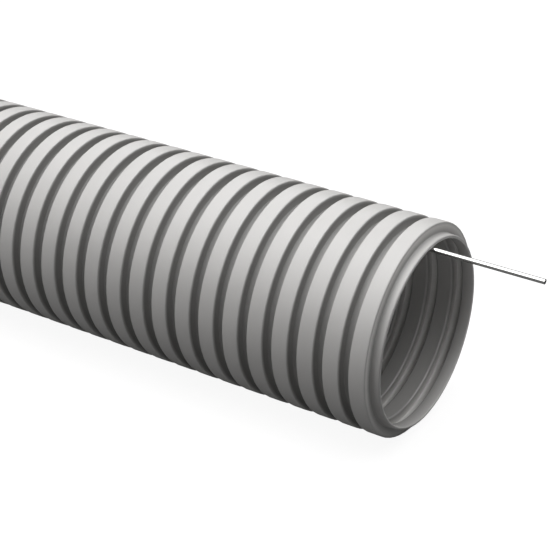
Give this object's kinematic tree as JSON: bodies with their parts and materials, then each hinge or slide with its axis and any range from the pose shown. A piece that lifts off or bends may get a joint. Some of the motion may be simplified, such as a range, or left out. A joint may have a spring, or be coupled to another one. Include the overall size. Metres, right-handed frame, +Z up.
{
  "type": "corrugated conduit",
  "caption": "Length of grey plastic corrugated conduit, ring-waved inside and out, cut in a valley at both mouths, with a steel draw wire running through its bore.",
  "frame": {"origin": "on the floor below the middle of the conduit's length, where its lowest crowns rest", "axes": "+X along the conduit to the mouth shown in the picture, +Z up, +Y to the far side"},
  "size_m": [1.0692, 0.0628, 0.063],
  "materials": {
    "grey_plastic": "satin",
    "wire_steel": "bright drawn"
  },
  "bodies": {
    "root": {"conduit": "grey_plastic", "draw_wire": "wire_steel"}
  },
  "joints": []
}
